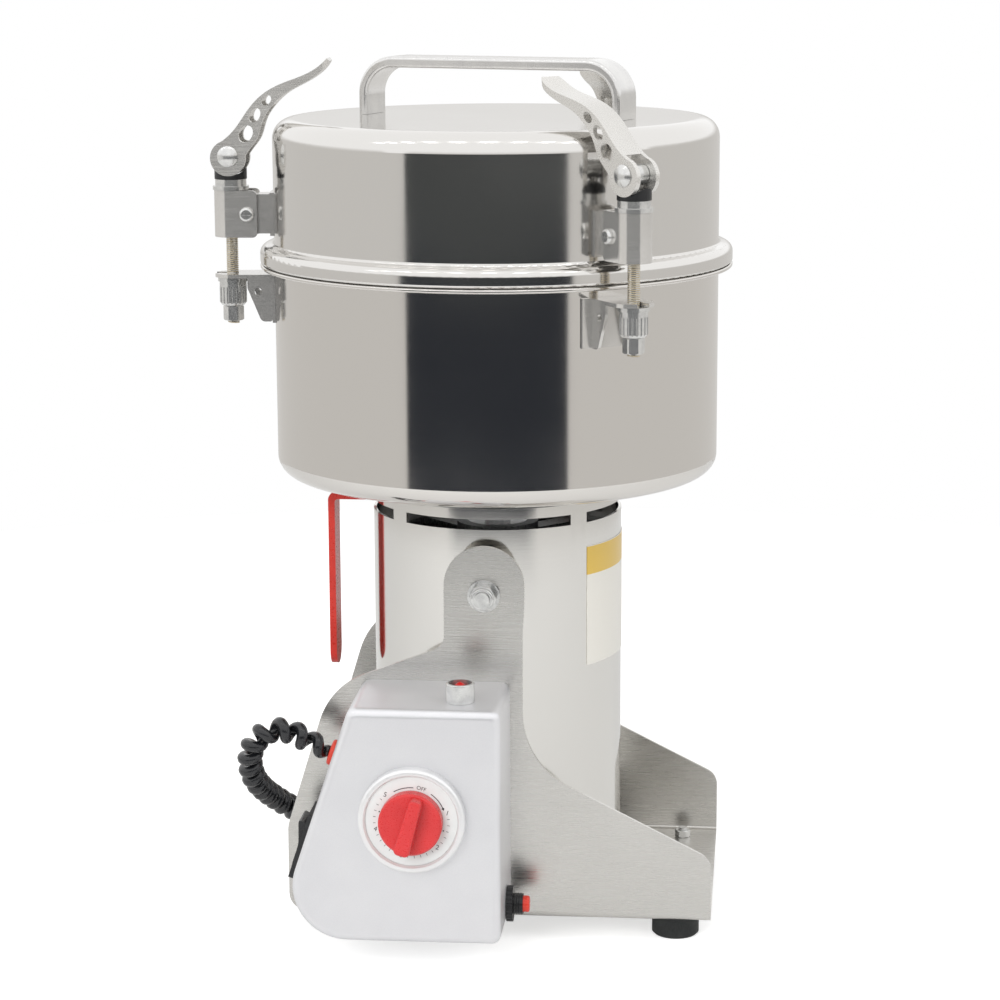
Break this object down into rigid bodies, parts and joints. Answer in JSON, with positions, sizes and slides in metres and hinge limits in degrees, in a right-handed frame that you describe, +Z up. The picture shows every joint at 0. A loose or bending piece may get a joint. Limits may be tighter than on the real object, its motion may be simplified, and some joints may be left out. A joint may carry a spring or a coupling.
{
  "type": "electric grain mill",
  "caption": "Tilting bench mill for dry grain: a lidded steel bowl on a motor barrel, pivoted in a U-shaped yoke, with cam latches and a control box with a timer.",
  "frame": {"origin": "on the bench, directly under the bowl's vertical axis, in the plane of the four foot undersides", "axes": "+Z up along the bowl's axis; +X is the side that the bowl tilts and pours towards; the control box is on the -Y side"},
  "size_m": [0.2756, 0.2939, 0.459],
  "materials": {
    "yoke": "brushed",
    "feet": "matte",
    "fasteners": "zinc plated",
    "control_box": "satin silver",
    "timer_body": "matte",
    "dial_ring": "satin",
    "dial_plate": "matte",
    "timer_knob": "gloss",
    "lamp_lens": "clear",
    "breaker_body": "gloss",
    "breaker_button": "gloss",
    "switch_frame": "matte",
    "switch_rocker": "gloss",
    "gland": "gloss",
    "motor_lead": "satin",
    "barrel": "polished",
    "barrel_cover": "matte",
    "bowl_seat": "cast",
    "bowl": "polished",
    "lid": "polished",
    "lid_seal": "matte",
    "lid_handle": "polished",
    "pour_handle": "gloss",
    "label": "satin",
    "iron_core": "matte",
    "windings": "enamelled",
    "shaft_steel": "ground",
    "blade_steel": "ground",
    "shaft_seal": "matte",
    "latch_steel": "satin",
    "cam_pads": "matte",
    "lever_steel": "polished"
  },
  "bodies": {
    "stand": {"yoke": "yoke", "rubber_feet": "feet", "foot_screws": "fasteners", "control_box": "control_box", "box_screws": "fasteners", "timer_body": "timer_body", "dial_ring": "dial_ring", "dial_plate": "dial_plate", "lamp_bezel": "fasteners", "lamp_lens": "lamp_lens", "breaker_body": "breaker_body", "switch_frame": "switch_frame", "box_gland": "gland", "motor_lead": "motor_lead"},
    "grinder": {"barrel_gland": "gland", "motor_barrel": "barrel", "barrel_cover": "barrel_cover", "bowl_seat": "bowl_seat", "grinding_bowl": "bowl", "lid": "lid", "lid_seal": "lid_seal", "lid_handle": "lid_handle", "handle_screws": "fasteners", "pour_handle": "pour_handle", "barrel_label": "label", "stator_core": "iron_core", "field_windings": "windings", "bearing_brackets": "bowl_seat", "bearings": "shaft_steel", "brush_gear": "timer_body", "pivot_bolts": "fasteners", "pivot_washers": "fasteners", "pivot_nuts": "fasteners", "shaft_seal": "shaft_seal", "latch_lugs": "latch_steel", "latch_straps": "latch_steel", "strap_screws": "fasteners", "latch_rods": "fasteners", "lever_pins": "fasteners", "thrust_washers": "fasteners", "cam_pads": "cam_pads", "catch_brackets": "latch_steel", "lock_nuts": "fasteners"},
    "rotor": {"motor_shaft": "shaft_steel", "armature": "iron_core", "cooling_fan": "timer_body", "lower_blade": "blade_steel", "middle_blade": "blade_steel", "upper_blade": "blade_steel", "blade_nut": "fasteners"},
    "timer_knob": {"timer_knob": "timer_knob"},
    "reset_button": {"breaker_button": "breaker_button"},
    "rocker": {"switch_rocker": "switch_rocker"},
    "lever_1": {"latch_lever_1": "lever_steel"},
    "thumb_nut_1": {"clamp_nut_1": "fasteners"},
    "lever_2": {"latch_lever_2": "lever_steel"},
    "thumb_nut_2": {"clamp_nut_2": "fasteners"},
    "lever_3": {"latch_lever_3": "lever_steel"},
    "thumb_nut_3": {"clamp_nut_3": "fasteners"}
  },
  "joints": [
    {"name": "tilt", "type": "hinge", "parent": "stand", "child": "grinder", "pos_m": [0, 0, 0.1865], "axis": [0, 1, 0], "range_deg": [0, 90], "deforming": ["motor_lead"]},
    {"name": "blade_spin", "type": "hinge", "parent": "grinder", "child": "rotor", "pos_m": [0, 0, 0.26], "axis": [0, 0, 1], "continuous": true},
    {"name": "timer_turn", "type": "hinge", "parent": "stand", "child": "timer_knob", "pos_m": [-0.031, -0.136, 0.084], "axis": [0, 1, 0], "range_deg": [-45, 300]},
    {"name": "reset_pop", "type": "slide", "parent": "stand", "child": "reset_button", "axis": [1, 0, 0], "range_m": [0, 0.003]},
    {"name": "rocker_tip", "type": "hinge", "parent": "stand", "child": "rocker", "pos_m": [-0.09064, -0.105, 0.06066], "axis": [0, 1, 0], "range_deg": [0, 16]},
    {"name": "lever_1_swing", "type": "hinge", "parent": "grinder", "child": "lever_1", "pos_m": [0.07885, -0.11689, 0.4078], "axis": [0.6561, 0.7547, 0], "range_deg": [0, 110]},
    {"name": "thumb_nut_1_turn", "type": "hinge", "parent": "grinder", "child": "thumb_nut_1", "pos_m": [0.07885, -0.11689, 0.336], "axis": [0, 0, 1], "continuous": true},
    {"name": "lever_2_swing", "type": "hinge", "parent": "grinder", "child": "lever_2", "pos_m": [-0.14066, -0.00984, 0.4078], "axis": [0, -1, 0], "range_deg": [0, 110]},
    {"name": "thumb_nut_2_turn", "type": "hinge", "parent": "grinder", "child": "thumb_nut_2", "pos_m": [-0.14066, -0.00984, 0.336], "axis": [0, 0, 1], "continuous": true},
    {"name": "lever_3_swing", "type": "hinge", "parent": "grinder", "child": "lever_3", "pos_m": [0.06181, 0.12673, 0.4078], "axis": [-0.9613, 0.2756, 0], "range_deg": [0, 110]},
    {"name": "thumb_nut_3_turn", "type": "hinge", "parent": "grinder", "child": "thumb_nut_3", "pos_m": [0.06181, 0.12673, 0.336], "axis": [0, 0, 1], "continuous": true}
  ]
}
